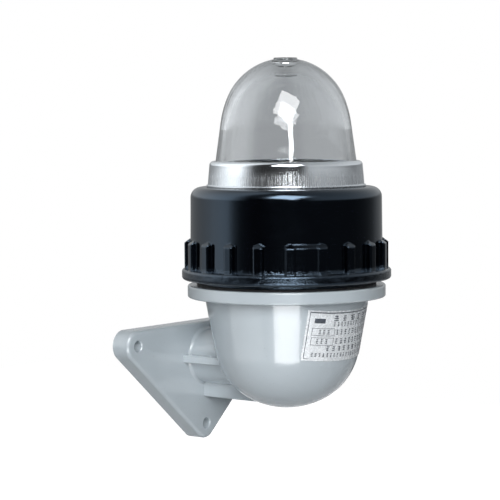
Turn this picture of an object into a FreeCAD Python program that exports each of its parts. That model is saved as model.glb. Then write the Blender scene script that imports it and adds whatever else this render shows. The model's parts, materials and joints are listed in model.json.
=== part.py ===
import FreeCAD, Part
import math
import os

# Wall-bracket lamp with a clear glass globe, in millimetres.
#
# Row frame: origin on the wall face of the plate, midway between its two upper
# fixing holes. +Z is up and the wall is on the +Y side. The lamp parts are
# drawn about their own axis, with height 0 at the underside of the housing
# flange, and place_lamp() carries them to their place in the row frame.

# ---- driving dimensions -------------------------------------------------
REACH = 78.1                # wall face to lamp axis
FLANGE_UNDERSIDE = 29.9     # flange underside above the upper fixing holes

# housing bowl and flange
BOWL_WALL = 3.2
BOWL_MOUTH_R = 51.8         # outside radius at the flange underside
BOWL_TAPER = 10.2           # degrees
BOWL_CAP_R = 51.3
BOWL_DEPTH = 70.6
BOWL_JOIN = 24.5            # degrees from the axis where the cap takes over
FLANGE_R = 62.5
FLANGE_T = 7.8

# arm and wall plate
ARM_AXIS_Z = -42.5          # in lamp height
ARM_R = 17.5
ARM_BORE_R = 12.5
ARM_FLARE_R = 1.4           # how far the arm's foot stands out at the plate
ARM_FLARE_LONG = 3.2
WING_HALF_SPAN = 23.5
WING_TOP = -39.8
WING_T = 5.2
RIB_T = 5.0
RIB_BOTTOM = -69.3
RIB_START = 12.0            # lamp axis to the rib's hidden end
PLATE_T = 12.6
PLATE_CORNER_R = 9.8
HOLE_SPAN = 136.0           # between the two upper fixing holes
HOLE_DROP = 57.3            # upper holes to the lower one
HOLE_R = 3.5
EDGE_ROUND = 1.0
PLATE_ROUND = 2.2           # front edge of the plate

# rating label, laid out flat on the bowl's cone below the flange
LABEL_T = 0.3
LABEL_TOP = -6.0
LABEL_BOTTOM = -37.9
LABEL_TOP_HALF = 32.1
LABEL_BOTTOM_HALF = 31.35

# threaded neck and clamp ring
THREAD_PITCH = 6.0
NECK_BORE_R = 49.6
NECK_ROOT_R = 54.9
NECK_CREST_R = 56.5
NECK_FOOT_R = 56.0
NECK_FOOT_BORE_R = 41.5
NECK_BASE_Z = 9.0
NECK_FOOT_T = 4.0
NECK_TOP_Z = 60.0
NECK_THREAD_Z = 21.0        # centre of the ridge at its lower end
NECK_THREAD_TURNS = 4.0
NECK_SCREW_PCR = 45.3
NECK_SCREW_COUNT = 4
NECK_SCREW_R = 2.0
NECK_SCREW_HOLE_R = 2.3
NECK_BOSS_R = 4.6
NECK_BOSS_BOTTOM = -14.0

RING_BOTTOM_Z = 11.3
RING_TOP_Z = 69.2
RING_WALL_R = 60.7          # outside, just above the lip
RING_SHOULDER_R = 60.2      # outside, just below the top corner
RING_CORNER = 6.5
RING_BORE_R = 56.95
RING_CREST_R = 55.3
RING_LIP_R = 66.0
RING_LIP_TOP_Z = 18.0
RING_HOLE_R = 49.75
RING_FLANGE_T = 4.6
RING_THREAD_Z = 18.4
RING_THREAD_TURNS = 4.0
GRIP_COUNT = 20
GRIP_FIRST_DEG = 2.3        # azimuth, from -Y towards +X
GRIP_R = 64.3
GRIP_ROOT_HALF = 3.4
GRIP_TIP_HALF = 3.0
GRIP_ROUND = 1.2
GRIP_FACE_TOP_Z = 34.2      # top of the rib's outer face
GRIP_EAVES_Z = 35.4
GRIP_RIDGE_Z = 36.8
PAD_R = 63.2
PAD_TOP_Z = 34.3
GRIP_SLOPE = 0.76           # rise over run of the rib and pad tops
PAD_CENTRES_DEG = (-42.7, 137.3)

# globe head
GLOBE_TAPER = 7.9           # degrees
GLOBE_REF_R = 44.1
GLOBE_REF_Z = 87.0
GLOBE_CAP_R = 39.7
GLOBE_TOP_Z = 149.7
GLOBE_JOIN = 67.2           # degrees from the axis
GLOBE_WALL = 3.8
GLOBE_CROWN_T = 7.2
GLOBE_FOOT_Z = 65.6
BOSS_R = 7.4
BOSS_TOP_Z = 149.9
BOSS_HOLLOW = 0.4           # recess under the boss, above the inside of the crown
COLLAR_TOP_Z = 85.5
COLLAR_FLANGE_Z = 62.9
COLLAR_FLANGE_R = 54.4
COLLAR_BORE_R = 43.6

# lampholder and bulb (screw cap of 27 mm, pitch 25.4 / 7)
CAP_PITCH = 25.4 / 7.0
CAP_ROOT_R = 12.2
CAP_CREST_R = 13.1
SHELL_BORE_R = 13.25
SHELL_CREST_R = 12.35
SHELL_OUT_R = 13.8
EYELET_Z = -28.0
BULB_R = 30.0
BULB_CENTRE_Z = 50.0
BULB_NECK_R = 13.2
BULB_GLASS = 0.8
BULB_GLASS_FOOT = -2.4
HOLDER_R = 20.0
HOLDER_BOTTOM_Z = -44.0
HOLDER_TOP_Z = -4.0
HOLDER_FLOOR_Z = -29.0
STRAP_T = 1.5
STRAP_HALF = 36.0
STRAP_SCREW_X = 31.0
STRAP_SCREW_R = 1.75
STRAP_BOSS_R = 4.2
HOLDER_SCREW_Y = 12.0
HOLDER_SCREW_R = 1.55
BLOCK_INNER_Y = 21.5
BLOCK_OUTER_Y = 32.0
BLOCK_TOP_Z = -33.0
BLOCK_SLOT = 4.0            # depth of the three pole channels
POLE_PITCH = 8.5
POLE_SCREW_YS = (24.4, 29.2)
LEAD_R = 1.1
TERMINAL_Z = -20.0
TERMINAL_X = 19.5           # where a lead enters its side terminal
EARTH_X = 18.0
EARTH_Y = 27.0
EARTH_WASHER_T = 1.6
FILAMENT_R = 12.4
FILAMENT_WIRE_R = 0.5
FILAMENT_Z = 50.9
FILAMENT_GAP = 8.0          # half the opening, in degrees

V = FreeCAD.Vector
ORIGIN = V(0, 0, 0)
UP = V(0, 0, 1)


# ---- outlines and helpers -------------------------------------------------
def edge_line(a, b):
    """A straight edge between two (r, z) points."""
    return Part.LineSegment(V(a[0], 0, a[1]), V(b[0], 0, b[1])).toShape()


def edge_arc(centre, radius, from_deg, to_deg):
    """A round edge about an (r, z) centre, angles counted from +r to +z."""
    def at(deg):
        a = math.radians(deg)
        return V(centre[0] + radius * math.cos(a), 0, centre[1] + radius * math.sin(a))
    return Part.Arc(at(from_deg), at((from_deg + to_deg) / 2), at(to_deg)).toShape()


def hollow_arc(a, b):
    """A slightly hollow edge between two (r, z) points, as in a moulded fillet."""
    middle = V(a[0] * 0.3 + b[0] * 0.7, 0, a[1] * 0.7 + b[1] * 0.3)
    return Part.Arc(V(a[0], 0, a[1]), middle, V(b[0], 0, b[1])).toShape()


def revolved(edges, degrees=360):
    """The solid of a closed (r, z) outline turned about the lamp axis."""
    face = Part.Face(Part.Wire(Part.__sortEdges__(edges)))
    return face.revolve(ORIGIN, UP, degrees)


def rounded_edges(corners):
    """Edges of a closed outline of (r, z) or (r, z, rounding) corners."""
    points = [V(c[0], 0, c[1]) for c in corners]
    count = len(corners)
    spans = []
    for i, corner in enumerate(corners):
        here = points[i]
        if len(corner) < 3:
            spans.append((here, None, here))
            continue
        back = (points[i - 1] - here).normalize()
        ahead = (points[(i + 1) % count] - here).normalize()
        half = back.getAngle(ahead) / 2
        cut = corner[2] / math.tan(half)
        bisector = (back + ahead).normalize()
        middle = here + bisector * (corner[2] / math.sin(half) - corner[2])
        spans.append((here + back * cut, middle, here + ahead * cut))
    edges = []
    for i, (start, middle, end) in enumerate(spans):
        if middle is not None:
            edges.append(Part.Arc(start, middle, end).toShape())
        following = spans[(i + 1) % count][0]
        if end.distanceToPoint(following) > 1e-6:
            edges.append(Part.LineSegment(end, following).toShape())
    return edges


def turned(*corners):
    """A turned solid from an outline of (r, z) or (r, z, rounding) corners."""
    return revolved(rounded_edges(corners))


def dome_edges(base, taper, cap_r, cap_z, join, up=1):
    """Outline from a base point along a taper, round a knuckle arc that is
    tangent to both, and over a spherical cap to the axis at cap_z."""
    slope = math.radians(taper)
    turn = math.radians(join)
    out = (math.cos(slope), math.sin(slope))
    lean = (math.sin(turn), math.cos(turn))
    cap_centre_z = up * cap_z - cap_r
    meet = (cap_r * lean[0], cap_centre_z + cap_r * lean[1])
    apart = (meet[0] - base[0]) * out[0] + (meet[1] - up * base[1]) * out[1]
    knuckle = -apart / (1 - lean[0] * out[0] - lean[1] * out[1])
    centre = (meet[0] - knuckle * lean[0], up * (meet[1] - knuckle * lean[1]))
    start = (centre[0] + knuckle * out[0], centre[1] + up * knuckle * out[1])
    return [
        edge_line(base, start),
        edge_arc(centre, knuckle, up * taper, up * (90 - join)),
        edge_arc((0, up * cap_centre_z), cap_r, up * (90 - join), up * 90),
    ]


def cylinder(radius, low, high, x=0.0, y=0.0):
    return Part.makeCylinder(radius, high - low, V(x, y, low), UP)


def tube(outer, inner, low, high):
    return turned((inner, low), (outer, low), (outer, high), (inner, high))


def block(x0, x1, y0, y1, z0, z1):
    return Part.makeBox(x1 - x0, y1 - y0, z1 - z0, V(x0, y0, z0))


def prism(corners, along):
    """A flat polygon carried along a vector."""
    return Part.Face(Part.makePolygon(corners + corners[:1])).extrude(along)


def helical_ridge(root_r, crest_r, root_w, crest_w, pitch, start_z, turns):
    """A thread's ridge: a trapezium swept along a helix about the lamp axis."""
    path = Part.Wire(Part.makeHelix(pitch, pitch * turns, root_r))
    ends = [(root_r, -root_w / 2), (crest_r, -crest_w / 2),
            (crest_r, crest_w / 2), (root_r, root_w / 2)]
    corners = [V(r, 0, z) for r, z in ends]
    profile = Part.makePolygon(corners + corners[:1])
    ridge = path.makePipeShell([profile], True, True)
    ridge.translate(V(0, 0, start_z))
    return ridge


def ring_places(count, radius, first_deg):
    """(x, y) places evenly spaced on a circle."""
    for i in range(count):
        a = math.radians(first_deg + i * 360.0 / count)
        yield radius * math.cos(a), radius * math.sin(a)


def pan_screw(shank_r, head_r, head_t, length, x, y, seat_z):
    """A pan-head screw that points down from its seat, with a cross slot."""
    head = Part.makeCylinder(head_r, head_t, V(x, y, seat_z), UP)
    head = head.makeFillet(head_t * 0.45, [head.Edges[0]])
    shank = Part.makeCylinder(shank_r, length + 0.5, V(x, y, seat_z - length), UP)
    screw = head.fuse(shank)
    arm = head_r * 0.6
    slot_w = head_r * 0.12
    deep = seat_z + head_t * 0.5
    high = seat_z + head_t + 1
    screw = screw.cut(block(x - arm, x + arm, y - slot_w, y + slot_w, deep, high))
    return screw.cut(block(x - slot_w, x + slot_w, y - arm, y + arm, deep, high))


def lead(points):
    """An insulated wire: straight runs joined by tangent arcs."""
    points = [V(*p) for p in points]
    edges = []
    here = points[0]
    for i in range(1, len(points) - 1):
        corner = points[i]
        back = points[i - 1] - corner
        ahead = points[i + 1] - corner
        cut = 0.45 * min(back.Length, ahead.Length)
        back.normalize()
        ahead.normalize()
        half = back.getAngle(ahead) / 2
        radius = cut * math.tan(half)
        middle = corner + (back + ahead).normalize() * (radius / math.sin(half) - radius)
        start = corner + back * cut
        end = corner + ahead * cut
        edges.append(Part.LineSegment(here, start).toShape())
        edges.append(Part.Arc(start, middle, end).toShape())
        here = end
    edges.append(Part.LineSegment(here, points[-1]).toShape())
    first = (points[1] - points[0]).normalize()
    section = Part.Wire(Part.makeCircle(LEAD_R, points[0], first))
    return Part.Wire(edges).makePipeShell([section], True, True)


def place_lamp(shape):
    """Carry a shape from the lamp's own axis to its place in the row frame."""
    moved = shape.copy()
    moved.translate(V(0, -REACH, FLANGE_UNDERSIDE))
    return moved


# ---- bowl with its flange, hollow arm, wall plate, and what sits on them ------
def bowl_outer():
    edges = dome_edges((BOWL_MOUTH_R, 0), BOWL_TAPER, BOWL_CAP_R,
                       -BOWL_DEPTH, BOWL_JOIN, up=-1)
    edges.append(edge_line((0, -BOWL_DEPTH), (0, 1)))
    edges.append(edge_line((0, 1), (BOWL_MOUTH_R, 1)))
    edges.append(edge_line((BOWL_MOUTH_R, 1), (BOWL_MOUTH_R, 0)))
    return revolved(edges)


def bowl_cavity():
    mouth = BOWL_MOUTH_R - BOWL_WALL
    top = FLANGE_T + 1
    edges = dome_edges((mouth, 0), BOWL_TAPER, BOWL_CAP_R - BOWL_WALL,
                       BOWL_WALL - BOWL_DEPTH, BOWL_JOIN, up=-1)
    edges.append(edge_line((0, BOWL_WALL - BOWL_DEPTH), (0, top)))
    edges.append(edge_line((0, top), (mouth, top)))
    edges.append(edge_line((mouth, top), (mouth, 0)))
    return revolved(edges)


def wall_plate():
    """Rounded triangular plate with three holes and the arm's bore."""
    half = HOLE_SPAN / 2
    centres = [V(-half, 0, 0), V(half, 0, 0), V(0, 0, -HOLE_DROP)]
    triangle = Part.Face(Part.makePolygon(centres + centres[:1]))
    outline = triangle.makeOffset2D(PLATE_CORNER_R)
    plate = Part.Face(outline.OuterWire).extrude(V(0, -PLATE_T, 0))
    front = [e for e in plate.Edges if e.BoundBox.YMax < 0.001 - PLATE_T]
    plate = plate.makeFillet(PLATE_ROUND, front)
    for c in centres:
        hole = Part.makeCylinder(HOLE_R, PLATE_T + 2, V(c.x, 1, c.z), V(0, -1, 0))
        sink = Part.makeCone(HOLE_R, HOLE_R + 1, 1,
                             V(c.x, 0.5 - PLATE_T, c.z), V(0, -1, 0))
        plate = plate.cut(hole).cut(sink)
    plate.translate(V(0, REACH, -FLANGE_UNDERSIDE))
    return plate.cut(arm_bore())


def arm_bore():
    return Part.makeCylinder(ARM_BORE_R, REACH + 2, V(0, 0, ARM_AXIS_Z), V(0, 1, 0))


def long_edges(shape, length):
    """The edges of a box that run its whole length along Y."""
    return [e for e in shape.Edges if abs(e.BoundBox.YLength - length) < 0.01]


def bracket_arm():
    """Hollow arm from the bowl to the plate, with its foot, wings and rib."""
    front = REACH - PLATE_T
    tube_shape = Part.makeCylinder(ARM_R, front, V(0, 0, ARM_AXIS_Z), V(0, 1, 0))
    foot = revolved([edge_line((ARM_R - 1, 0), (ARM_R + ARM_FLARE_R, 0)),
                     hollow_arc((ARM_R + ARM_FLARE_R, 0), (ARM_R, ARM_FLARE_LONG)),
                     edge_line((ARM_R, ARM_FLARE_LONG), (ARM_R - 1, ARM_FLARE_LONG)),
                     edge_line((ARM_R - 1, ARM_FLARE_LONG), (ARM_R - 1, 0))])
    foot.rotate(ORIGIN, V(1, 0, 0), 90)
    foot.translate(V(0, front, ARM_AXIS_Z))
    wings = block(-WING_HALF_SPAN, WING_HALF_SPAN, 0, front, WING_TOP - WING_T, WING_TOP)
    rib = block(-RIB_T / 2, RIB_T / 2, RIB_START, front, RIB_BOTTOM, ARM_AXIS_Z)
    wings = wings.makeFillet(EDGE_ROUND, long_edges(wings, front))
    lower = [e for e in long_edges(rib, front - RIB_START) if e.BoundBox.ZMax < RIB_BOTTOM + 1]
    rib = rib.makeFillet(EDGE_ROUND, lower)
    shape = tube_shape.fuse([foot, wings, rib]).removeSplitter()
    return shape.cut(bowl_outer()).cut(arm_bore())


def housing():
    """Bowl with its flange and the bosses for the neck and strap screws."""
    flange = turned((0, 0), (FLANGE_R, 0, 1.2), (FLANGE_R, FLANGE_T, 1.2), (0, FLANGE_T))
    room = bowl_outer().fuse(flange)
    shape = room.cut(bowl_cavity()).cut(arm_bore())
    bosses = [cylinder(NECK_BOSS_R, NECK_BOSS_BOTTOM, FLANGE_T, x, y)
              for x, y in ring_places(NECK_SCREW_COUNT, NECK_SCREW_PCR, 45)]
    low = HOLDER_BOTTOM_Z - STRAP_T
    bosses += [cylinder(STRAP_BOSS_R, -BOWL_DEPTH, low, x) for x in (-STRAP_SCREW_X, STRAP_SCREW_X)]
    shape = shape.fuse([b.common(room) for b in bosses])
    pilots = [cylinder(NECK_SCREW_R + 0.05, -9, FLANGE_T + 1, x, y)
              for x, y in ring_places(NECK_SCREW_COUNT, NECK_SCREW_PCR, 45)]
    pilots += [cylinder(STRAP_SCREW_R + 0.05, low - 9, low + 1, x)
               for x in (-STRAP_SCREW_X, STRAP_SCREW_X)]
    return shape.cut(pilots).removeSplitter()


def cable_grommet():
    """Rubber bush in the arm's mouth at the wall, with a cable hole."""
    outer = ARM_BORE_R - 0.05
    shape = turned((4.2, 0), (outer, 0, 0.8), (outer, 3), (outer - 1.2, 3.6),
                   (outer - 1.2, 6.4), (outer, 7), (outer, 9.2, 0.8), (7.0, 9.2),
                   (6.2, 14.0, 0.6), (4.2, 14.0))
    shape.rotate(ORIGIN, V(1, 0, 0), 90)
    shape.translate(V(0, REACH, ARM_AXIS_Z))
    return shape


def rating_label():
    """Thin sticker on the bowl's room side, a rectangle bent round the cone."""
    edges = dome_edges((BOWL_MOUTH_R + LABEL_T, 0), BOWL_TAPER, BOWL_CAP_R + LABEL_T,
                       -BOWL_DEPTH - LABEL_T, BOWL_JOIN, up=-1)
    edges.append(edge_line((0, -BOWL_DEPTH - LABEL_T), (0, 0)))
    edges.append(edge_line((0, 0), (BOWL_MOUTH_R + LABEL_T, 0)))
    skin = revolved(edges).cut(bowl_outer())
    lean = math.radians(BOWL_TAPER)
    up_slope = V(0, -math.sin(lean), math.cos(lean))
    inward = V(0, math.cos(lean), math.sin(lean))
    start = V(0, -BOWL_MOUTH_R, 0) - inward * 3
    outline = [(-LABEL_BOTTOM_HALF, LABEL_BOTTOM), (LABEL_BOTTOM_HALF, LABEL_BOTTOM),
               (LABEL_TOP_HALF, LABEL_TOP), (-LABEL_TOP_HALF, LABEL_TOP)]
    corners = [start + V(x, 0, 0) + up_slope * v for x, v in outline]
    return skin.common(prism(corners, inward * 30))


# ---- threaded neck, its gasket and screws ----------------------------------
def threaded_neck():
    foot_top = NECK_BASE_Z + NECK_FOOT_T
    shape = turned((NECK_FOOT_BORE_R, NECK_BASE_Z), (NECK_FOOT_R, NECK_BASE_Z),
                   (NECK_FOOT_R, foot_top + 1), (NECK_ROOT_R, foot_top + 2.1),
                   (NECK_ROOT_R, NECK_TOP_Z, 0.8), (NECK_BORE_R, NECK_TOP_Z, 0.8),
                   (NECK_BORE_R, foot_top), (NECK_FOOT_BORE_R, foot_top))
    ridge = helical_ridge(NECK_ROOT_R - 0.3, NECK_CREST_R, 3.0, 1.4,
                          THREAD_PITCH, NECK_THREAD_Z, NECK_THREAD_TURNS)
    shape = shape.fuse(ridge)
    holes = [cylinder(NECK_SCREW_HOLE_R, NECK_BASE_Z - 1, foot_top + 1, x, y)
             for x, y in ring_places(NECK_SCREW_COUNT, NECK_SCREW_PCR, 45)]
    return shape.cut(holes)


def neck_gasket():
    shape = tube(NECK_FOOT_R + 0.6, NECK_FOOT_BORE_R, FLANGE_T, NECK_BASE_Z)
    holes = [cylinder(NECK_SCREW_HOLE_R, FLANGE_T - 1, NECK_BASE_Z + 1, x, y)
             for x, y in ring_places(NECK_SCREW_COUNT, NECK_SCREW_PCR, 45)]
    return shape.cut(holes)


def neck_screws():
    seat = NECK_BASE_Z + NECK_FOOT_T
    return Part.makeCompound([pan_screw(NECK_SCREW_R, 3.6, 2.4, 19, x, y, seat)
                              for x, y in ring_places(NECK_SCREW_COUNT, NECK_SCREW_PCR, 45)])


# ---- clamp ring -------------------------------------------------------------
def grip_rib():
    """Rib that points along +Y, with rounded corners and a gabled, sloping top."""
    low = RING_LIP_TOP_Z - 1
    root = RING_SHOULDER_R - 1.5
    high = GRIP_RIDGE_Z + 1
    plan = [V(-GRIP_ROOT_HALF, root, low), V(-GRIP_TIP_HALF, GRIP_R, low),
            V(GRIP_TIP_HALF, GRIP_R, low), V(GRIP_ROOT_HALF, root, low)]
    body = prism(plan, V(0, 0, high - low))
    corners = [e for e in body.Edges if e.BoundBox.YMin > GRIP_R - 0.1 and e.BoundBox.ZLength > 1]
    body = body.makeFillet(GRIP_ROUND, corners)
    half = GRIP_ROOT_HALF + 0.01
    gable = [V(-half, root - 1, low), V(half, root - 1, low), V(half, root - 1, GRIP_EAVES_Z),
             V(0, root - 1, GRIP_RIDGE_Z), V(-half, root - 1, GRIP_EAVES_Z)]
    body = body.common(prism(gable, V(0, GRIP_R - root + 2, 0)))
    tip = GRIP_R + 1
    fall = [V(-half, root - 1, low - 1), V(-half, tip, low - 1),
            V(-half, tip, GRIP_FACE_TOP_Z - GRIP_SLOPE),
            V(-half, root - 1, GRIP_FACE_TOP_Z + GRIP_SLOPE * (GRIP_R - root + 1))]
    return body.common(prism(fall, V(2 * half, 0, 0)))


def grip_pad(centre_deg):
    """Raised panel that fills the space between two neighbouring ribs."""
    half = 180.0 / GRIP_COUNT
    inner = RING_SHOULDER_R - 1
    low = RING_LIP_TOP_Z - 1
    pad = revolved(rounded_edges([(inner, low), (PAD_R, low), (PAD_R, PAD_TOP_Z),
                                  (inner, PAD_TOP_Z + GRIP_SLOPE * (PAD_R - inner))]), 2 * half)
    pad.rotate(ORIGIN, UP, centre_deg - 90 - half)
    return pad


def clamp_ring():
    lip_under = RING_TOP_Z - RING_FLANGE_T
    shape = turned((RING_BORE_R + 0.6, RING_BOTTOM_Z), (RING_LIP_R, RING_BOTTOM_Z, 2.0),
                   (RING_LIP_R, RING_LIP_TOP_Z, 1.7), (RING_WALL_R, RING_LIP_TOP_Z, 0.8),
                   (RING_SHOULDER_R, RING_TOP_Z, RING_CORNER), (RING_HOLE_R, RING_TOP_Z, 0.8),
                   (RING_HOLE_R, lip_under), (RING_BORE_R, lip_under),
                   (RING_BORE_R, RING_BOTTOM_Z + 1.5))
    ribs = []
    for i in range(GRIP_COUNT):
        rib = grip_rib()
        rib.rotate(ORIGIN, UP, GRIP_FIRST_DEG + i * 360.0 / GRIP_COUNT + 180)
        ribs.append(rib)
    pads = [grip_pad(c) for c in PAD_CENTRES_DEG]
    shape = shape.fuse(ribs + pads)
    ridge = helical_ridge(RING_BORE_R + 0.3, RING_CREST_R, 3.0, 1.4,
                          THREAD_PITCH, RING_THREAD_Z, RING_THREAD_TURNS)
    return shape.fuse(ridge)


# ---- globe head -----------------------------------------------------------
def glass_outer(z):
    """Outside radius of the globe on its tapered stretch."""
    return GLOBE_REF_R + (GLOBE_REF_Z - z) * math.tan(math.radians(GLOBE_TAPER))


def globe():
    """Pressed glass dome with a low boss on its crown and a recess below it."""
    foot_r = glass_outer(GLOBE_FOOT_Z)
    crown_z = GLOBE_TOP_Z - GLOBE_CROWN_T
    edges = dome_edges((foot_r, GLOBE_FOOT_Z), GLOBE_TAPER, GLOBE_CAP_R,
                       GLOBE_TOP_Z, GLOBE_JOIN)
    edges += dome_edges((foot_r - GLOBE_WALL, GLOBE_FOOT_Z), GLOBE_TAPER,
                        GLOBE_CAP_R - GLOBE_WALL, crown_z, GLOBE_JOIN - 6)
    edges.append(edge_line((foot_r - GLOBE_WALL, GLOBE_FOOT_Z), (foot_r, GLOBE_FOOT_Z)))
    edges.append(edge_line((0, crown_z), (0, GLOBE_TOP_Z)))
    boss = turned((0, GLOBE_TOP_Z - 3), (BOSS_R, GLOBE_TOP_Z - 3),
                  (BOSS_R, BOSS_TOP_Z, 0.3), (0, BOSS_TOP_Z))
    hollow = cylinder(BOSS_R, crown_z - 2, crown_z + BOSS_HOLLOW)
    return revolved(edges).fuse(boss).cut(hollow)


def collar():
    """Spun aluminium collar: its bead and flange trap the clamp ring's lip."""
    flange_top = COLLAR_FLANGE_Z + 1.4
    return turned((44.95, COLLAR_TOP_Z - 1.1), (44.95, COLLAR_TOP_Z, 0.2),
                  (48.0, COLLAR_TOP_Z, 2.7), (49.25, 70.9),
                  (50.1, 70.6, 0.35), (50.1, RING_TOP_Z + 0.3, 0.35),
                  (49.3, RING_TOP_Z + 0.3), (49.3, flange_top),
                  (COLLAR_FLANGE_R, flange_top), (COLLAR_FLANGE_R, COLLAR_FLANGE_Z),
                  (COLLAR_BORE_R, COLLAR_FLANGE_Z), (COLLAR_BORE_R, 64.1),
                  (48.1, 64.1), (48.1, 71.0), (47.05, 79.4), (46.2, COLLAR_TOP_Z - 1.1))


def globe_cement():
    gap = 0.05
    low, high = 67.0, 83.4
    return turned((glass_outer(low) + gap, low), (48.1 - gap, low), (48.1 - gap, 70.9),
                  (47.05 - gap, 79.4), (46.35 - gap, high), (glass_outer(high) + gap, high))


def rim_washer():
    return tube(48.0, COLLAR_BORE_R + 0.1, 64.1, GLOBE_FOOT_Z)


def globe_gasket():
    return turned((NECK_BORE_R - 0.1, NECK_TOP_Z + 0.1), (NECK_ROOT_R - 0.3, NECK_TOP_Z + 0.1, 0.5),
                  (NECK_ROOT_R - 0.3, COLLAR_FLANGE_Z), (NECK_BORE_R - 0.1, COLLAR_FLANGE_Z))


# ---- lampholder -----------------------------------------------------------
def lampholder_body():
    """Porcelain body with the socket well, two flats and the contact's pocket."""
    shape = turned((0, HOLDER_BOTTOM_Z), (HOLDER_R, HOLDER_BOTTOM_Z, 1.0),
                   (HOLDER_R, HOLDER_TOP_Z - 3), (HOLDER_R - 2.4, HOLDER_TOP_Z, 1.0),
                   (SHELL_OUT_R + 0.1, HOLDER_TOP_Z), (SHELL_OUT_R + 0.1, HOLDER_FLOOR_Z),
                   (3.7, HOLDER_FLOOR_Z), (3.7, -36.5), (1.55, -36.5),
                   (1.55, -40.8), (0, -40.8))
    for side in (-1, 1):
        x0, x1 = sorted((side * 17.0, side * (HOLDER_R + 1)))
        shape = shape.cut(block(x0, x1, -12, 12, TERMINAL_Z - 5, TERMINAL_Z + 5))
    holes = [cylinder(HOLDER_SCREW_R + 0.05, HOLDER_BOTTOM_Z - 1, HOLDER_BOTTOM_Z + 9, 0, y)
             for y in (-HOLDER_SCREW_Y, HOLDER_SCREW_Y)]
    return shape.cut(holes)


def threaded_shell():
    shape = turned((SHELL_BORE_R, HOLDER_FLOOR_Z + 3), (SHELL_OUT_R, HOLDER_FLOOR_Z + 3),
                   (SHELL_OUT_R, HOLDER_TOP_Z - 0.8), (SHELL_BORE_R, HOLDER_TOP_Z - 0.8))
    ridge = helical_ridge(SHELL_BORE_R + 0.2, SHELL_CREST_R, 2.1, 0.9, CAP_PITCH,
                          -23.6, 4.5)
    return shape.fuse(ridge)


def contact_plunger():
    return turned((0, -38.5), (1.5, -38.5), (1.5, -30.4), (3.4, -30.4),
                  (3.4, EYELET_Z - 0.1, 0.6), (0, EYELET_Z - 0.1))


def contact_spring():
    """Compression spring under the plunger's head."""
    wire_r, coil_r, low, high, turns = 0.3, 2.6, -36.1, -30.75, 5.0
    path = Part.Wire(Part.makeHelix((high - low) / turns, high - low, coil_r))
    section = Part.Wire(Part.makeCircle(wire_r, V(coil_r, 0, 0), V(0, 1, 0)))
    spring = path.makePipeShell([section], True, True)
    spring.translate(V(0, 0, low))
    return spring


def side_terminals():
    """Brass terminal on each flat of the lampholder, open for its lead."""
    parts = []
    for side in (-1, 1):
        x0, x1 = sorted((side * 17.0, side * 22.0))
        body = block(x0, x1, -4, 4, TERMINAL_Z - 3.5, TERMINAL_Z + 3.5)
        entry = Part.makeCylinder(LEAD_R + 0.05, 4, V(side * TERMINAL_X, 1, TERMINAL_Z), V(0, 1, 0))
        parts.append(body.cut(entry))
    return Part.makeCompound(parts)


def side_terminal_screws():
    parts = []
    for side in (-1, 1):
        head = Part.makeCylinder(2.2, 1.6, V(side * 22, -1.4, TERMINAL_Z), V(side, 0, 0))
        slot = block(-0.3, 0.3, -2.5, 2.5, -0.4, 0.4)
        slot.translate(V(side * 23.6, -1.4, TERMINAL_Z))
        parts.append(head.cut(slot))
    return Part.makeCompound(parts)


def holder_strap():
    """Steel strap with a tab for the terminal block."""
    low = HOLDER_BOTTOM_Z - STRAP_T
    bar = block(-STRAP_HALF, STRAP_HALF, -9, 9, low, HOLDER_BOTTOM_Z)
    tab = block(-22, 22, 8, BLOCK_OUTER_Y, low, HOLDER_BOTTOM_Z)
    shape = bar.fuse(tab).removeSplitter()
    upright = [e for e in shape.Edges if e.BoundBox.ZLength > STRAP_T - 0.01]
    shape = shape.makeFillet(1.8, upright)
    places = [(2.3, -STRAP_SCREW_X, 0), (2.3, STRAP_SCREW_X, 0), (1.8, 0, -HOLDER_SCREW_Y),
              (1.8, 0, HOLDER_SCREW_Y), (1.8, EARTH_X, EARTH_Y)]
    return shape.cut([cylinder(r, low - 1, HOLDER_BOTTOM_Z + 1, x, y) for r, x, y in places])


def strap_screws():
    return Part.makeCompound([pan_screw(STRAP_SCREW_R, 3.4, 2.2, 9, x, 0, HOLDER_BOTTOM_Z)
                              for x in (-STRAP_SCREW_X, STRAP_SCREW_X)])


def lampholder_screws():
    """Screws that rise through the strap into the porcelain."""
    parts = []
    for y in (-HOLDER_SCREW_Y, HOLDER_SCREW_Y):
        screw = pan_screw(HOLDER_SCREW_R, 2.8, 1.8, 8, 0, y, 0)
        screw.rotate(V(0, y, 0), V(1, 0, 0), 180)
        screw.translate(V(0, 0, HOLDER_BOTTOM_Z - STRAP_T))
        parts.append(screw)
    return Part.makeCompound(parts)


def terminal_block():
    """Three-pole barrier block on the strap's tab."""
    shape = block(-13, 13, BLOCK_INNER_Y, BLOCK_OUTER_Y, HOLDER_BOTTOM_Z, BLOCK_TOP_Z)
    for pole in (-1, 0, 1):
        x = pole * POLE_PITCH
        channel = block(x - 3.4, x + 3.4, BLOCK_INNER_Y - 1, BLOCK_OUTER_Y + 1,
                        BLOCK_TOP_Z - BLOCK_SLOT, BLOCK_TOP_Z + 1)
        shape = shape.cut(channel)
    return shape


def block_screws():
    """Brass plate and two clamp screws for each pole, on its channel's floor."""
    parts = []
    floor = BLOCK_TOP_Z - BLOCK_SLOT
    for pole in (-1, 0, 1):
        x = pole * POLE_PITCH
        plate = block(x - 3, x + 3, BLOCK_INNER_Y + 0.6, BLOCK_OUTER_Y - 0.6, floor, floor + 1)
        parts.append(plate)
        for y in POLE_SCREW_YS:
            head = Part.makeCylinder(2.0, 1.5, V(x, y, floor + 1), UP)
            slot = block(x - 2.2, x + 2.2, y - 0.3, y + 0.3, floor + 2.0, floor + 3)
            parts.append(head.cut(slot))
    return Part.makeCompound(parts)


def earth_screw():
    return pan_screw(1.7, 3.0, 2.0, 5, EARTH_X, EARTH_Y, HOLDER_BOTTOM_Z + EARTH_WASHER_T)


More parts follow.
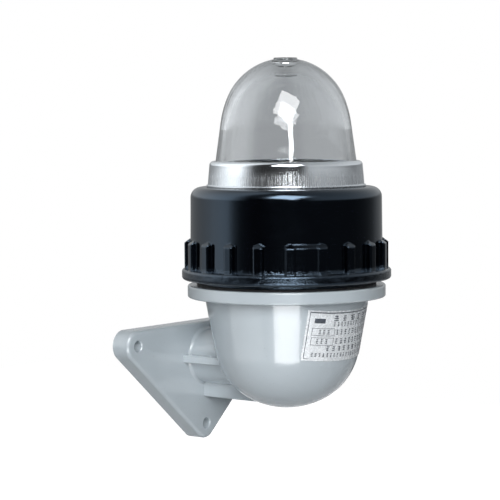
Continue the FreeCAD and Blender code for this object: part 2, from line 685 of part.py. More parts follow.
def earth_washer():
    shape = tube(4.0, 1.75, 0, EARTH_WASHER_T)
    shape.translate(V(EARTH_X, EARTH_Y, HOLDER_BOTTOM_Z))
    return shape


def power_lead(side):
    """Lead from the terminal block round the porcelain to its side terminal."""
    start_z = BLOCK_TOP_Z - 1.4
    x = side * POLE_PITCH
    y = POLE_SCREW_YS[0]
    end_x = side * TERMINAL_X
    return lead([(x, y, start_z), (x, y, TERMINAL_Z), (end_x, y, TERMINAL_Z), (end_x, 3.0, TERMINAL_Z)])


def earth_lead():
    """Lead from the middle pole, behind the power lead, to the earth screw."""
    y = POLE_SCREW_YS[1]
    return lead([(0, y, BLOCK_TOP_Z - 1.4), (0, y, -26.0), (9.0, 32.0, -25.0),
                 (21.5, 31.5, -28.0), (23.0, 30.5, -36.0), (21.6, 29.0, HOLDER_BOTTOM_Z + 4.4)])


# ---- bulb -----------------------------------------------------------------
def envelope_edges(inset):
    """Bulb outline from its neck up to the crown, inset from the outside."""
    ball = BULB_R - inset
    neck = BULB_NECK_R - inset
    leave = 48.0
    a = math.radians(leave)
    hollow = (ball * math.cos(a) - neck) / (1 - math.cos(a))
    centre = (neck + hollow, BULB_CENTRE_Z - (ball + hollow) * math.sin(a))
    return [
        edge_line((neck, BULB_GLASS_FOOT), (neck, centre[1])),
        edge_arc(centre, hollow, 180, 180 - leave),
        edge_arc((0, BULB_CENTRE_Z), ball, -leave, 90),
    ]


def bulb_envelope():
    edges = envelope_edges(0) + envelope_edges(BULB_GLASS)
    foot = BULB_GLASS_FOOT
    edges.append(edge_line((BULB_NECK_R - BULB_GLASS, foot), (BULB_NECK_R, foot)))
    top = BULB_CENTRE_Z + BULB_R
    edges.append(edge_line((0, top - BULB_GLASS), (0, top)))
    return revolved(edges)


def bulb_cap():
    shape = turned((10.6, -25.6), (CAP_ROOT_R, -23.8), (CAP_ROOT_R, -3.6, 0.6),
                   (13.9, -3.0, 0.3), (13.9, 1.5), (13.3, 1.5), (13.3, -2.6),
                   (CAP_ROOT_R - 0.5, -3.2), (CAP_ROOT_R - 0.5, -23.5), (10.2, -25.2))
    ridge = helical_ridge(CAP_ROOT_R - 0.2, CAP_CREST_R, 2.1, 0.9, CAP_PITCH,
                          -23.6 + CAP_PITCH / 2, 4.2)
    return shape.fuse(ridge)


def bulb_insulator():
    return turned((0, -26.0), (10.1, -25.6), (10.1, -26.2), (6.0, -27.3), (0, -27.3))


def bulb_eyelet():
    return turned((0, -27.35), (4.8, -27.35), (4.3, EYELET_Z, 0.3), (0, EYELET_Z))


def bulb_stem():
    """Glass mount: a flared foot sealed in the neck and a rod with a button."""
    return turned((0, 0), (BULB_NECK_R - BULB_GLASS - 0.05, 0),
                  (BULB_NECK_R - BULB_GLASS - 0.05, 1.2), (5.0, 8.0, 4.0), (4.0, 26.0, 1.5),
                  (1.6, 28.0), (1.6, 42.0), (2.6, 43.5, 0.5), (2.6, 45.5, 0.8), (0, 45.5))


def bulb_wires():
    """Two lead-in wires and two hooks that hold the filament."""
    parts = []
    radius = 0.35
    for side in (-1, 1):
        start = V(side * 3.0, 0, 25.0)
        end = V(side * 14.0, 0, 50.0)
        along = end - start
        parts.append(Part.makeCylinder(radius, along.Length, start, along))
        start = V(0, side * 2.2, 44.5)
        end = V(0, side * 11.0, 50.0)
        along = end - start
        parts.append(Part.makeCylinder(radius, along.Length, start, along))
    return Part.makeCompound(parts)


def bulb_filament():
    """Coiled filament as a slim ring of wire, open at one side."""
    centre = V(0, 0, FILAMENT_Z)
    path = Part.Wire(Part.makeCircle(FILAMENT_R, centre, UP, FILAMENT_GAP, 360 - FILAMENT_GAP))
    gap = math.radians(FILAMENT_GAP)
    start = centre + V(math.cos(gap), math.sin(gap), 0) * FILAMENT_R
    section = Part.Wire(Part.makeCircle(FILAMENT_WIRE_R, start, V(-math.sin(gap), math.cos(gap), 0)))
    return path.makePipeShell([section], True, True)


# ---- the assembly -----------------------------------------------------------
NODES = {
    "housing": housing,
    "bracket_arm": bracket_arm,
    "wall_plate": wall_plate,
    "cable_grommet": cable_grommet,
    "rating_label": rating_label,
    "threaded_neck": threaded_neck,
    "neck_gasket": neck_gasket,
    "neck_screws": neck_screws,
    "clamp_ring": clamp_ring,
    "globe": globe,
    "collar": collar,
    "globe_cement": globe_cement,
    "rim_washer": rim_washer,
    "globe_gasket": globe_gasket,
    "lampholder_body": lampholder_body,
    "threaded_shell": threaded_shell,
    "contact_plunger": contact_plunger,
    "contact_spring": contact_spring,
    "side_terminals": side_terminals,
    "side_terminal_screws": side_terminal_screws,
    "holder_strap": holder_strap,
    "strap_screws": strap_screws,
    "lampholder_screws": lampholder_screws,
    "terminal_block": terminal_block,
    "block_screws": block_screws,
    "earth_screw": earth_screw,
    "earth_washer": earth_washer,
    "earth_lead": earth_lead,
    "bulb_envelope": bulb_envelope,
    "bulb_cap": bulb_cap,
    "bulb_insulator": bulb_insulator,
    "bulb_eyelet": bulb_eyelet,
    "bulb_stem": bulb_stem,
    "bulb_wires": bulb_wires,
    "bulb_filament": bulb_filament,
}


def main():
    os.makedirs("parts", exist_ok=True)
    shapes = {name: make() for name, make in NODES.items()}
    shapes["live_lead"] = power_lead(-1)
    shapes["neutral_lead"] = power_lead(1)
    for name, shape in shapes.items():
        placed = place_lamp(shape)
        placed.exportStep("parts/" + name + ".step")
        valid = all(solid.isValid() for solid in placed.Solids)
        print(name, len(placed.Solids), "solids, valid", valid, "volume", round(placed.Volume, 1))


main()
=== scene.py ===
import json
import math
import random

import bpy
from mathutils import Matrix, Vector


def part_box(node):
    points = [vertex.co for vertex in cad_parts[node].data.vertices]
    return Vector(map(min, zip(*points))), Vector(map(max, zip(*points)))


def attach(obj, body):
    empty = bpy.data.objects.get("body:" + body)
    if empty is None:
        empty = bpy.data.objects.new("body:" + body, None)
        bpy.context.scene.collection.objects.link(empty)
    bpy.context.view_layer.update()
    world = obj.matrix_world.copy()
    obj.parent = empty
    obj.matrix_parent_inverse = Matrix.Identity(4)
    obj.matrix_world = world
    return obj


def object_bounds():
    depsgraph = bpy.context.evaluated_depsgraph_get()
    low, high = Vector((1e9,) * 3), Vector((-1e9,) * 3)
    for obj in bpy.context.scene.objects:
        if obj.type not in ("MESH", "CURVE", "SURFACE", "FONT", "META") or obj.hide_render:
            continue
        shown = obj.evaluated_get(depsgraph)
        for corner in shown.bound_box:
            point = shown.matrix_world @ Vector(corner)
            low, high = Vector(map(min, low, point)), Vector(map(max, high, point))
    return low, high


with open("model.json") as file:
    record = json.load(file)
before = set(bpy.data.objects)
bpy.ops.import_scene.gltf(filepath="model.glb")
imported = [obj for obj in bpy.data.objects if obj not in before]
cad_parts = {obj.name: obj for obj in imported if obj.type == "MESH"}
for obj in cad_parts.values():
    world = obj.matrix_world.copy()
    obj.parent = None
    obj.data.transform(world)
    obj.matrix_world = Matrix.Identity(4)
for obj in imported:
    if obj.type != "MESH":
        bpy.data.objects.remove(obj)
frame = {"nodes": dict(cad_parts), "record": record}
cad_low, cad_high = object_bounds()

# A wall-bracket lamp: grey housing, black screw ring, aluminium collar and a
# clear glass globe. Lengths are metres unless a name ends in _MM. The lamp axis
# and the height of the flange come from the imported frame.

MM = 0.001
NODES = frame["nodes"]
FLANGE_T_MM = 7.8

globe_low, globe_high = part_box("globe")
AXIS = Vector(((globe_low.x + globe_high.x) / 2, (globe_low.y + globe_high.y) / 2, 0))
FLANGE_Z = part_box("neck_gasket")[0].z - FLANGE_T_MM * MM

# camera, placed about the lamp axis and the flange's underside
CAMERA_AZIMUTH = -53.831
CAMERA_DISTANCE = 1.2209
CAMERA_HEIGHT = 0.11764
CAMERA_YAW = 1.078
CAMERA_PITCH = 4.143
CAMERA_ROLL = -0.386
CAMERA_LENS_MM = 139.63
SENSOR_MM = 36.0
CLIP_END = 20
GLASS_BOUNCES = 16
ALL_BOUNCES = 20


# ---- node helpers ---------------------------------------------------------
def math_node(tree, operation, *values):
    """The result of a math node; each value is a number or a socket."""
    made = tree.nodes.new("ShaderNodeMath")
    made.operation = operation
    for socket, value in zip(made.inputs, values):
        if isinstance(value, (int, float)):
            socket.default_value = value
        else:
            tree.links.new(value, socket)
    return made.outputs["Value"]


class Paint:
    """A node material with one Principled shader and short ways to wire it."""

    def __init__(self, name):
        self.material = bpy.data.materials.new(name)
        self.material.use_nodes = True
        self.tree = self.material.node_tree
        self.shader = self.tree.nodes["Principled BSDF"]
        self.coords = self.tree.nodes.new("ShaderNodeTexCoord").outputs["Object"]

    def node(self, kind, **values):
        made = self.tree.nodes.new(kind)
        for key, value in values.items():
            setattr(made, key, value)
        return made

    def link(self, source, target):
        self.tree.links.new(source, target)

    def set(self, **values):
        """Constant values on the shader's own sockets; _ stands for a space."""
        for key, value in values.items():
            self.shader.inputs[key.replace("_", " ")].default_value = value
        return self

    def noise(self, scale, detail=3.0, rough=0.5, coords=None, distortion=0.0):
        made = self.node("ShaderNodeTexNoise")
        made.inputs["Scale"].default_value = scale
        made.inputs["Detail"].default_value = detail
        made.inputs["Roughness"].default_value = rough
        made.inputs["Distortion"].default_value = distortion
        self.link(coords or self.coords, made.inputs["Vector"])
        return made.outputs["Fac"]

    def span(self, value, low, high, to_low, to_high):
        """value mapped from low..high to to_low..to_high, clamped."""
        made = self.node("ShaderNodeMapRange")
        for key, number in zip(("From Min", "From Max", "To Min", "To Max"),
                               (low, high, to_low, to_high)):
            made.inputs[key].default_value = number
        self.link(value, made.inputs["Value"])
        return made.outputs["Result"]

    def math(self, operation, *values):
        return math_node(self.tree, operation, *values)

    def mix(self, factor, first, second):
        """Mix of two colours by a factor socket; a colour may be a socket."""
        made = self.node("ShaderNodeMix", data_type="RGBA")
        self.link(factor, made.inputs["Factor"])
        for key, colour in (("A", first), ("B", second)):
            socket = [s for s in made.inputs if s.name == key and s.type == "RGBA"][0]
            if isinstance(colour, tuple):
                socket.default_value = (*colour, 1.0)
            else:
                self.link(colour, socket)
        return [s for s in made.outputs if s.type == "RGBA"][0]

    def colour(self, socket):
        self.link(socket, self.shader.inputs["Base Color"])

    def roughness(self, socket):
        self.link(socket, self.shader.inputs["Roughness"])

    def bump(self, *layers, rounding=0.0):
        """Bump from (height socket, depth in metres) layers, over edges rounded
        by a radius in metres where one is given."""
        normal = None
        if rounding:
            bevel = self.node("ShaderNodeBevel", samples=6)
            bevel.inputs["Radius"].default_value = rounding
            normal = bevel.outputs["Normal"]
        for height, depth in layers:
            made = self.node("ShaderNodeBump")
            made.inputs["Strength"].default_value = 1.0
            made.inputs["Distance"].default_value = depth
            self.link(height, made.inputs["Height"])
            if normal is not None:
                self.link(normal, made.inputs["Normal"])
            normal = made.outputs["Normal"]
        self.link(normal, self.shader.inputs["Normal"])

    def around(self, across=1.0, along=1.0):
        """Coordinates unrolled about the lamp axis, (turn * across, height *
        along), so that a noise can be drawn out along or round the lamp."""
        split = self.node("ShaderNodeSeparateXYZ")
        self.link(self.coords, split.inputs[0])
        x = self.math("SUBTRACT", split.outputs["X"], AXIS.x)
        y = self.math("SUBTRACT", split.outputs["Y"], AXIS.y)
        turn = self.math("ARCTAN2", x, y)
        join = self.node("ShaderNodeCombineXYZ")
        self.link(self.math("MULTIPLY", turn, across), join.inputs["X"])
        self.link(self.math("MULTIPLY", split.outputs["Z"], along), join.inputs["Y"])
        return join.outputs["Vector"]

    def height(self):
        split = self.node("ShaderNodeSeparateXYZ")
        self.link(self.coords, split.inputs[0])
        return split.outputs["Z"]

    def zone(self, band_mm, below, above, height=None):
        """One value below a band of heights and another above it."""
        low, high = (FLANGE_Z + end * MM for end in band_mm)
        return self.span(height or self.height(), low, high, below, above)


# ---- materials --------------------------------------------------------------
# bands of height above the flange's underside, in millimetres, where looks change
RING_SCUFF_TOP = (20.5, 22.5)
RING_CORNER_START = (61.5, 64.5)
COLLAR_WALL_TOP = (76.5, 81.5)


def grey_moulding():
    """Light grey glossy moulding with a fine orange peel, dust and specks."""
    p = Paint("grey_moulding")
    p.set(Coat_Weight=0.6, Coat_Roughness=0.05)
    cloud = p.noise(14, 4, 0.55)
    tone = p.mix(p.span(cloud, 0.35, 0.65, 0, 1), (0.385, 0.435, 0.470), (0.420, 0.470, 0.505))
    speck = p.span(p.noise(760, 2), 0.715, 0.74, 0, 1)
    tone = p.mix(p.math("MULTIPLY", speck, 0.35), tone, (0.24, 0.27, 0.29))
    p.colour(tone)
    p.roughness(p.span(p.noise(60, 4, 0.6), 0.3, 0.7, 0.17, 0.25))
    p.bump((p.noise(520, 2), 0.000012), (p.noise(70, 3), 0.00005))
    return p.material


def black_plastic():
    """Glossy black phenolic, smooth on the wall and scuffed and lumpy at the lip."""
    p = Paint("black_plastic")
    # The bluish specular tint is painted reflection colour: it stands in for the bluish light
    # wall on the left that the ring mirrors.
    p.set(Specular_IOR_Level=0.85, Specular_Tint=(0.54, 0.75, 1.0, 1.0))
    ragged = p.math("MULTIPLY_ADD", p.noise(300, 4, 0.7), 0.004, p.height())
    low_zone = p.zone(RING_SCUFF_TOP, 1.0, 0.0, ragged)
    cloud = p.noise(30, 5, 0.6)
    scuff = p.math("MULTIPLY", p.span(p.noise(260, 6, 0.7), 0.56, 0.72, 0, 1), low_zone)
    tone = p.mix(p.span(cloud, 0.3, 0.7, 0, 1),
                 (0.0002, 0.0002, 0.0005), (0.0004, 0.0004, 0.0009))
    p.colour(p.mix(scuff, tone, (0.004, 0.005, 0.007)))
    top_zone = p.zone(RING_CORNER_START, 0.0, 1.0)
    wear = p.span(p.noise(120, 5, 0.65), 0.35, 0.7, 0.07, 0.11)
    wear = p.math("MULTIPLY_ADD", low_zone, 0.02, wear)
    p.roughness(p.math("MULTIPLY_ADD", top_zone, 0.09, wear))
    lumps = p.math("MULTIPLY", p.noise(210, 5, 0.7, distortion=0.6), low_zone)
    p.bump((p.noise(26, 2), 0.00012), (p.noise(170, 3, 0.6), 0.00003), (lumps, 0.00045),
           rounding=0.0012)
    return p.material


def spun_aluminium():
    """Spun aluminium: a bright shoulder over a wall of short upright strokes."""
    p = Paint("spun_aluminium")
    p.set(Metallic=0.97)
    wall = p.zone(COLLAR_WALL_TOP, 1.0, 0.0)
    strokes = p.noise(1.0, 3, 0.65, p.around(85, 90))
    lines = p.noise(1.0, 2, 0.5, p.around(8, 2600))
    p.colour(p.mix(p.span(strokes, 0.35, 0.7, 0, 1), (0.68, 0.72, 0.755), (0.77, 0.80, 0.835)))
    p.roughness(p.math("MULTIPLY_ADD", wall, p.span(strokes, 0.38, 0.64, 0.08, 0.20), 0.09))
    p.bump((p.math("MULTIPLY", strokes, wall), 0.00008), (lines, 0.000005), rounding=0.0003)
    return p.material


def clear_glass():
    """Thick pressed glass, faintly grey, with slow waves and a little dust."""
    p = Paint("clear_glass")
    p.set(Transmission_Weight=1.0, IOR=1.5, Base_Color=(0.95, 0.955, 0.965, 1))
    dust = p.span(p.noise(900, 3, 0.6), 0.62, 0.8, 0.0, 0.08)
    p.roughness(p.math("ADD", dust, 0.005))
    p.bump((p.noise(26, 2), 0.00012), (p.noise(1.0, 2, 0.5, p.around(9, 45)), 0.00008))
    depth = p.node("ShaderNodeVolumeAbsorption")
    depth.inputs["Color"].default_value = (0.50, 0.57, 0.60, 1)
    depth.inputs["Density"].default_value = 20
    p.link(depth.outputs["Volume"], p.tree.nodes["Material Output"].inputs["Volume"])
    return p.material


def bulb_glass():
    """Thin blown glass of the bulb, nearly clean."""
    p = Paint("bulb_glass")
    p.set(Transmission_Weight=1.0, IOR=1.45, Base_Color=(0.96, 0.965, 0.965, 1))
    p.roughness(p.span(p.noise(300, 3), 0.4, 0.8, 0.01, 0.06))
    p.bump((p.noise(40, 2), 0.00005))
    return p.material


def rubber():
    """Matt black rubber with a fine grain."""
    p = Paint("black_rubber")
    cloud = p.noise(90, 4)
    p.colour(p.mix(p.span(cloud, 0.3, 0.7, 0, 1), (0.008, 0.008, 0.009), (0.022, 0.022, 0.023)))
    p.roughness(p.span(p.noise(500, 3), 0.3, 0.7, 0.55, 0.8))
    p.bump((p.noise(1500, 2), 0.00004), rounding=0.0003)
    return p.material


def plain_solid(name, dark, light, rough, scale=120, metal=0.0, depth=0.00003, **extra):
    """A two-tone grained solid, for the small parts inside."""
    p = Paint(name)
    p.set(Metallic=metal, **extra)
    p.colour(p.mix(p.span(p.noise(scale, 4, 0.6), 0.3, 0.7, 0, 1), dark, light))
    p.roughness(p.span(p.noise(scale * 2.5, 3), 0.3, 0.7, rough * 0.8, rough * 1.25))
    p.bump((p.noise(scale * 6, 2), depth), rounding=0.0002)
    return p.material


def two_colour_lead(name, first, second):
    """Insulation with a stripe of a second colour along its length."""
    p = Paint(name)
    wave = p.node("ShaderNodeTexWave", wave_type="BANDS", bands_direction="DIAGONAL")
    wave.inputs["Scale"].default_value = 130
    p.link(p.coords, wave.inputs["Vector"])
    p.colour(p.mix(p.span(wave.outputs["Fac"], 0.45, 0.55, 0, 1), first, second))
    p.roughness(p.span(p.noise(400, 3), 0.3, 0.7, 0.3, 0.45))
    p.bump((p.noise(900, 2), 0.00002))
    return p.material


MATERIALS = {
    "grey_moulding": grey_moulding(),
    "black_plastic": black_plastic(),
    "spun_aluminium": spun_aluminium(),
    "clear_glass": clear_glass(),
    "bulb_glass": bulb_glass(),
    "black_rubber": rubber(),
    "label_foil": plain_solid("label_foil", (0.68, 0.715, 0.745), (0.76, 0.785, 0.81), 0.26, 200,
                              0.2, 0.00001),
    "putty": plain_solid("putty", (0.42, 0.40, 0.36), (0.56, 0.54, 0.49), 0.8, 200, depth=0.0001),
    "porcelain": plain_solid("porcelain", (0.74, 0.72, 0.66), (0.82, 0.80, 0.75), 0.12, 60,
                             Coat_Weight=0.5),
    "brass": plain_solid("brass", (0.55, 0.38, 0.13), (0.74, 0.55, 0.24), 0.28, 300, 1.0),
    "brass_nickel": plain_solid("brass_nickel", (0.58, 0.55, 0.49), (0.72, 0.69, 0.63), 0.22,
                                260, 1.0),
    "zinc_steel": plain_solid("zinc_steel", (0.48, 0.50, 0.52), (0.64, 0.65, 0.66), 0.32,
                              300, 1.0),
    "spring_steel": plain_solid("spring_steel", (0.24, 0.25, 0.27), (0.38, 0.39, 0.41), 0.3,
                                400, 1.0),
    "cream_plastic": plain_solid("cream_plastic", (0.58, 0.53, 0.42), (0.66, 0.62, 0.51), 0.45),
    "brown_pvc": plain_solid("brown_pvc", (0.09, 0.032, 0.012), (0.13, 0.05, 0.02), 0.35),
    "blue_pvc": plain_solid("blue_pvc", (0.015, 0.06, 0.25), (0.03, 0.09, 0.33), 0.35),
    "green_pvc": two_colour_lead("green_pvc", (0.02, 0.22, 0.04), (0.75, 0.60, 0.03)),
    "black_glass": plain_solid("black_glass", (0.004, 0.004, 0.006), (0.01, 0.01, 0.014), 0.12),
    "solder": plain_solid("solder", (0.40, 0.41, 0.43), (0.55, 0.56, 0.58), 0.4, 500, 1.0),
    "tungsten": plain_solid("tungsten", (0.10, 0.10, 0.11), (0.17, 0.17, 0.18), 0.45, 900, 1.0),
}


def dress_cad_nodes():
    """Give every CAD node the material of its slot in the record."""
    for entry in frame["record"]["subparts"]:
        mesh = NODES[entry["node"]].data
        mesh.materials.clear()
        mesh.materials.append(MATERIALS[entry["material_slot"]])


# ---- mesh helpers -------------------------------------------------------------
def lamp_point(radius_mm, turn, height_mm):
    """A point about the lamp axis; turn 0 faces the room and +turn is towards +X."""
    return Vector((AXIS.x + radius_mm * MM * math.sin(turn),
                   AXIS.y - radius_mm * MM * math.cos(turn),
                   FLANGE_Z + height_mm * MM))


def new_piece(name, points, faces, material, body, smooth=True):
    """A mesh object that rides on a body, with the given material."""
    mesh = bpy.data.meshes.new(name)
    mesh.from_pydata([tuple(p) for p in points], [], faces)
    mesh.validate()
    if smooth:
        mesh.shade_smooth()
    piece = bpy.data.objects.new(name, mesh)
    bpy.context.scene.collection.objects.link(piece)
    mesh.materials.append(MATERIALS[material] if isinstance(material, str) else material)
    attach(piece, body)
    return piece


# ---- label print ----------------------------------------------------------------
CONE_MOUTH_MM = 52.1        # radius of the label's face at the flange
CONE_TAPER = math.radians(10.2)
CONE_SLANT_MM = CONE_MOUTH_MM / math.sin(CONE_TAPER)
CONE_END_MM = -34.74        # where the label's face leaves the cone for the bowl's curve
CURVE_R_MM = 42.63
CURVE_CENTRE_MM = (3.59, -27.19)
PRINT_LIFT_MM = 0.06
PRINT_STEP_MM = (1.2, 2.5)  # longest side of a print face, across and up
BAR_LEVELS = (0.0, 0.40, 0.80)      # feet of a word's stacked bars, as shares of its height
BAR_SHARE = 0.2             # height of one bar, as a share too

# the print, in millimetres across the label's middle line and up from the flange
LABEL_FRAMES = ((-33.4, 33.4, -37.1, -7.0, 0.7, 0.45), (-30.5, -14.4, -21.9, -17.1, 0.3, 0.3),
                (-30.3, -14.4, -28.0, -23.0, 0.3, 0.3))     # sides, then thick and thin lines
LABEL_MARK = (-29.7, -22.3, -14.0, -11.0)                   # left, right, low, high
LABEL_ROWS = ((-16.2, 32.0, -12.4, -9.0, 7.2), (-16.0, 26.0, -15.7, -13.1, 2.9),
              (-26.0, -17.0, -20.8, -18.0, 3.0), (-13.3, 30.0, -21.0, -17.8, 3.6),
              (-26.8, -17.0, -26.8, -23.9, 3.0), (-12.9, 29.0, -26.8, -23.5, 3.8),
              (-19.0, 30.0, -31.3, -28.4, 4.5), (-29.0, 31.0, -35.2, -32.8, 2.7))   # and pitch


def label_point(across, up):
    """A point of the label, unrolled: millimetres across its middle line and
    up from the flange along the cone."""
    slant = math.hypot(across, CONE_SLANT_MM + up)
    turn = math.atan2(across, CONE_SLANT_MM + up) / math.sin(CONE_TAPER)
    height = (slant - CONE_SLANT_MM) * math.cos(CONE_TAPER)
    radius = slant * math.sin(CONE_TAPER)
    if height < CONE_END_MM:
        drop = height - CURVE_CENTRE_MM[1]
        radius = CURVE_CENTRE_MM[0] + math.sqrt(CURVE_R_MM ** 2 - drop ** 2)
    return lamp_point(radius + PRINT_LIFT_MM, turn, height)


def label_patch(points, faces, left, right, low, high):
    """A thin rectangle of ink on the label."""
    steps = max(1, math.ceil((right - left) / PRINT_STEP_MM[0]))
    rows = max(1, math.ceil((high - low) / PRINT_STEP_MM[1]))
    first = len(points)
    for j in range(rows + 1):
        for i in range(steps + 1):
            points.append(label_point(left + (right - left) * i / steps,
                                      low + (high - low) * j / rows))
    for j in range(rows):
        for i in range(steps):
            a = first + j * (steps + 1) + i
            faces.append((a, a + 1, a + steps + 2, a + steps + 1))


def label_frame(points, faces, left, right, low, high, thick, thin):
    """A rectangular outline of ink with a thicker top line."""
    label_patch(points, faces, left, right, high - thick, high)
    label_patch(points, faces, left, right, low, low + thin)
    label_patch(points, faces, left, left + thin, low + thin, high - thick)
    label_patch(points, faces, right - thin, right, low + thin, high - thick)


def dashes(points, faces, rng, left, right, low, high, pitch):
    """A row of small stacked bars where a label would have its words."""
    tall = high - low
    x = left
    while x + pitch * 0.5 < right:
        wide = pitch * rng.uniform(0.50, 0.66)
        for level in BAR_LEVELS:
            start = x + wide * rng.uniform(0.0, 0.22)
            end = x + wide * rng.uniform(0.78, 1.0)
            label_patch(points, faces, start, end,
                        low + tall * level, low + tall * (level + BAR_SHARE))
        post = x + wide * rng.uniform(0.2, 0.7)
        label_patch(points, faces, post, post + wide * 0.16, low, high)
        x += pitch


def label_print():
    """Border, two boxes, a solid mark and rows of stacked bars: no lettering."""
    rng = random.Random(7)
    points, faces = [], []
    for frame_sides in LABEL_FRAMES:
        label_frame(points, faces, *frame_sides)
    label_patch(points, faces, *LABEL_MARK)
    for row in LABEL_ROWS:
        dashes(points, faces, rng, *row)
    ink = plain_solid("label_ink", (0.045, 0.055, 0.07), (0.09, 0.10, 0.12), 0.4, 400)
    return new_piece("label_print", points, faces, ink, "housing")


# ---- stage, light and camera ------------------------------------------------------
FLOOR_HALF = 2.2
FLOOR_DROP = 0.35           # below the lamp's lowest point


def stage_floor():
    """Plain pale floor below the lamp, as white as the backdrop to the camera."""
    material = bpy.data.materials.new("stage_floor")
    material.use_nodes = True
    tree = material.node_tree
    shader = tree.nodes["Principled BSDF"]
    shader.inputs["Base Color"].default_value = (0.58, 0.59, 0.60, 1)
    shader.inputs["Roughness"].default_value = 0.9
    shader.inputs["Emission Color"].default_value = (1, 1, 1, 1)
    path = tree.nodes.new("ShaderNodeLightPath")
    tree.links.new(path.outputs["Is Camera Ray"], shader.inputs["Emission Strength"])
    z = cad_low.z - FLOOR_DROP
    corners = ((-1, -1), (1, -1), (1, 1), (-1, 1))
    mesh = bpy.data.meshes.new("stage_floor")
    mesh.from_pydata([(x * FLOOR_HALF, y * FLOOR_HALF, z) for x, y in corners],
                     [], [(0, 1, 2, 3)])
    mesh.materials.append(material)
    floor = bpy.data.objects.new("stage_floor", mesh)
    bpy.context.scene.collection.objects.link(floor)


def toward(azimuth, elevation):
    """Unit direction from the lamp; azimuth 0 is towards -Y, + towards +X."""
    a = math.radians(azimuth)
    e = math.radians(elevation)
    return Vector((math.sin(a) * math.cos(e), -math.cos(a) * math.cos(e), math.sin(e)))


LAMP_MIDDLE = 0.06          # height above the flange that the lights are aimed at

# name, degrees beside the camera, elevation, distance, width, height, radiance, turn
# about its own middle; True if it is only mirrored, False if it only lights matt surfaces
LIGHTS = (("key_high", 2, 37, 1.15, 0.68, 0.68, 12.0, -30, True),
          ("key_tail", 9, 16.5, 1.15, 0.15, 0.10, 12.0, 0, True),
          ("key_low", 0, -32, 0.80, 0.47, 0.58, 6.6, 4, True),
          ("side_low", -64, -27, 0.90, 0.80, 0.50, 0.9, 0, True),
          ("front_soft", 1, 19, 1.4, 0.9, 0.8, 10.6, 0, False),
          ("back_soft", 176, 5, 1.4, 0.9, 0.8, 6.0, 0, False),
          ("front_under", -20, -26, 1.0, 0.5, 0.4, 1.0, 0, False))


def softbox(name, beside, elevation, distance, wide, tall, radiance, turn, mirrored):
    """Area light aimed at the lamp's middle."""
    data = bpy.data.lights.new(name, "AREA")
    data.shape = "RECTANGLE"
    data.size = wide
    data.size_y = tall
    data.energy = radiance * math.pi * wide * tall
    light = bpy.data.objects.new(name, data)
    bpy.context.scene.collection.objects.link(light)
    heart = Vector((AXIS.x, AXIS.y, FLANGE_Z + LAMP_MIDDLE))
    out = toward(CAMERA_AZIMUTH + beside, elevation)
    light.location = heart + out * distance
    spin = Matrix.Rotation(math.radians(turn), 4, "Z")
    light.rotation_euler = (out.to_track_quat("Z", "Y").to_matrix().to_4x4() @ spin).to_euler()
    light.visible_camera = False
    light.visible_diffuse = not mirrored
    light.visible_glossy = mirrored
    light.visible_transmission = mirrored
    return light


def lights_only(light, *names):
    """Keep a light's shine to the named nodes."""
    lit = bpy.data.collections.new(light.name + "_receivers")
    for name in names:
        lit.objects.link(NODES[name])
    light.light_linking.receiver_collection = lit


# brightness of the soft surround against the azimuth beside the camera, near
# the horizon and below it, and higher up; the fade is against the height, -1 to 1
SURROUND_LOW = ((-180, 0.42), (-174, 0.42), (-164, 0.26), (-150, 0.30), (-127, 0.42),
                (-107, 0.68), (-91, 0.98), (-80, 1.06), (-70, 0.66), (-60, 0.18), (-50, 0.05),
                (0, 0.045), (60, 0.045), (98, 0.05), (118, 0.10), (140, 0.26), (160, 0.30),
                (172, 0.42), (180, 0.42))
SURROUND_HIGH = ((-180, 0.44), (-165, 0.60), (-150, 0.80), (-127, 1.20), (-107, 1.60),
                 (-91, 1.75), (-80, 1.75), (-66, 1.15), (-54, 0.34), (-43, 0.02), (0, 0.01),
                 (18, 0.02), (30, 0.32), (42, 0.56), (60, 0.60), (120, 0.70), (150, 0.65),
                 (165, 0.60), (180, 0.44))
SURROUND_FADE = ((-1, 0.15), (-0.6, 0.5), (-0.2, 1), (0.4, 1), (0.7, 0.8), (1, 0.6))
SURROUND_MATT = (0.10, 0.01)    # share of the surround, and fill, that lights matt surfaces
SURROUND_RISE = (1, 9)      # elevations between which the first row gives way to the second
SURROUND_TINT = (0.95, 0.98, 1.0, 1)
CURVE_TOP = 2.0             # value that a curve's height of 1 stands for


def world_curve(tree, value, low, high, points):
    """A smooth curve through (value, brightness) points."""
    made = tree.nodes.new("ShaderNodeFloatCurve")
    places = made.mapping.curves[0].points
    while len(places) < len(points):
        places.new(0.5, 0.5)
    for place, (x, y) in zip(places, points):
        place.location = ((x - low) / (high - low), y / CURVE_TOP)
    made.mapping.update()
    scaled = math_node(tree, "MULTIPLY_ADD", value, 1 / (high - low), -low / (high - low))
    tree.links.new(scaled, made.inputs["Value"])
    return math_node(tree, "MULTIPLY", made.outputs["Value"], CURVE_TOP)


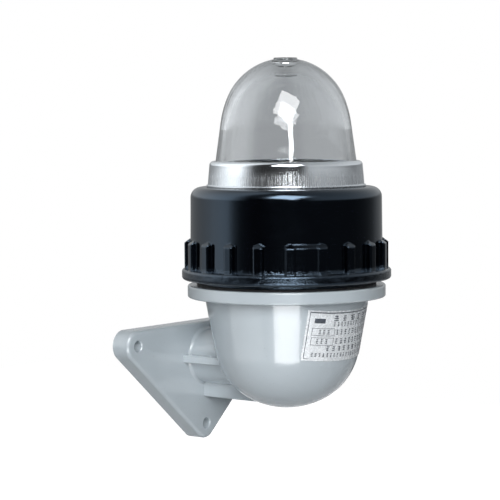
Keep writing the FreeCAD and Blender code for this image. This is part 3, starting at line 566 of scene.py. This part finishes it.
def surround(tree):
    """Soft surround: a broad light wall on the left, a weaker one high on the
    right, dark round the camera, fading overhead and underneath."""
    coords = tree.nodes.new("ShaderNodeTexCoord")
    turned = tree.nodes.new("ShaderNodeVectorRotate")
    turned.rotation_type = "Z_AXIS"
    turned.inputs["Angle"].default_value = -math.radians(CAMERA_AZIMUTH)
    tree.links.new(coords.outputs["Generated"], turned.inputs["Vector"])
    split = tree.nodes.new("ShaderNodeSeparateXYZ")
    tree.links.new(turned.outputs["Vector"], split.inputs[0])
    ahead = math_node(tree, "MULTIPLY", split.outputs["Y"], -1)
    beside = math_node(tree, "ARCTAN2", split.outputs["X"], ahead)
    beside = math_node(tree, "MULTIPLY", beside, 180 / math.pi)
    low = world_curve(tree, beside, -180, 180, SURROUND_LOW)
    high = world_curve(tree, beside, -180, 180, SURROUND_HIGH)
    raised = tree.nodes.new("ShaderNodeMapRange")
    raised.interpolation_type = "SMOOTHSTEP"
    for key, elevation in zip(("From Min", "From Max"), SURROUND_RISE):
        raised.inputs[key].default_value = math.sin(math.radians(elevation))
    tree.links.new(split.outputs["Z"], raised.inputs["Value"])
    level = world_level(tree, raised.outputs["Result"], low, high)
    fade = world_curve(tree, split.outputs["Z"], -1, 1, SURROUND_FADE)
    return math_node(tree, "MULTIPLY", level, fade)


def studio():
    """The soft lights, and the surround as the world."""
    lights = {row[0]: softbox(*row) for row in LIGHTS}
    lights_only(lights["side_low"], "housing")
    world = bpy.data.worlds.new("studio")
    bpy.context.scene.world = world
    world.use_nodes = True
    tree = world.node_tree
    shade = tree.nodes["Background"]
    path = tree.nodes.new("ShaderNodeLightPath")
    soft = surround(tree)
    filled = math_node(tree, "MULTIPLY_ADD", soft, *SURROUND_MATT)
    seen = world_level(tree, path.outputs["Is Diffuse Ray"], soft, filled)
    seen = world_level(tree, path.outputs["Is Camera Ray"], seen, 1.0)
    tree.links.new(seen, shade.inputs["Strength"])
    tint = tree.nodes.new("ShaderNodeMix")
    tint.data_type = "RGBA"
    tint.inputs[6].default_value = SURROUND_TINT
    tint.inputs[7].default_value = (1, 1, 1, 1)
    tree.links.new(path.outputs["Is Camera Ray"], tint.inputs["Factor"])
    tree.links.new(tint.outputs[2], shade.inputs["Color"])


def world_level(tree, is_kind, otherwise, level):
    """Strength that is level for one kind of ray and otherwise for the rest."""
    mix = tree.nodes.new("ShaderNodeMix")
    mix.data_type = "FLOAT"
    tree.links.new(is_kind, mix.inputs["Factor"])
    for key, value in (("A", otherwise), ("B", level)):
        if isinstance(value, float):
            mix.inputs[key].default_value = value
        else:
            tree.links.new(value, mix.inputs[key])
    return mix.outputs["Result"]


def camera():
    """Camera at the viewing angle, with a slight pitch and roll."""
    a = math.radians(CAMERA_AZIMUTH)
    look = math.radians(CAMERA_AZIMUTH + CAMERA_YAW)
    pitch = math.radians(CAMERA_PITCH)
    roll = math.radians(CAMERA_ROLL)
    place = Vector((AXIS.x + CAMERA_DISTANCE * math.sin(a),
                    AXIS.y - CAMERA_DISTANCE * math.cos(a), FLANGE_Z + CAMERA_HEIGHT))
    ahead = Vector((-math.sin(look) * math.cos(pitch), math.cos(look) * math.cos(pitch),
                    -math.sin(pitch)))
    side = Vector((math.cos(look), math.sin(look), 0))
    over = side.cross(ahead)
    right = side * math.cos(roll) + over * math.sin(roll)
    up = over * math.cos(roll) - side * math.sin(roll)
    data = bpy.data.cameras.new("camera")
    data.sensor_width = SENSOR_MM
    data.lens = CAMERA_LENS_MM
    data.clip_end = CLIP_END
    eye = bpy.data.objects.new("camera", data)
    bpy.context.scene.collection.objects.link(eye)
    matrix = Matrix((right, up, -ahead)).transposed().to_4x4()
    matrix.translation = place
    eye.matrix_world = matrix
    bpy.context.scene.camera = eye


dress_cad_nodes()
label_print()
stage_floor()
studio()
camera()
bpy.context.scene.view_settings.view_transform = "Standard"
bpy.context.scene.cycles.transmission_bounces = GLASS_BOUNCES
bpy.context.scene.cycles.max_bounces = ALL_BOUNCES
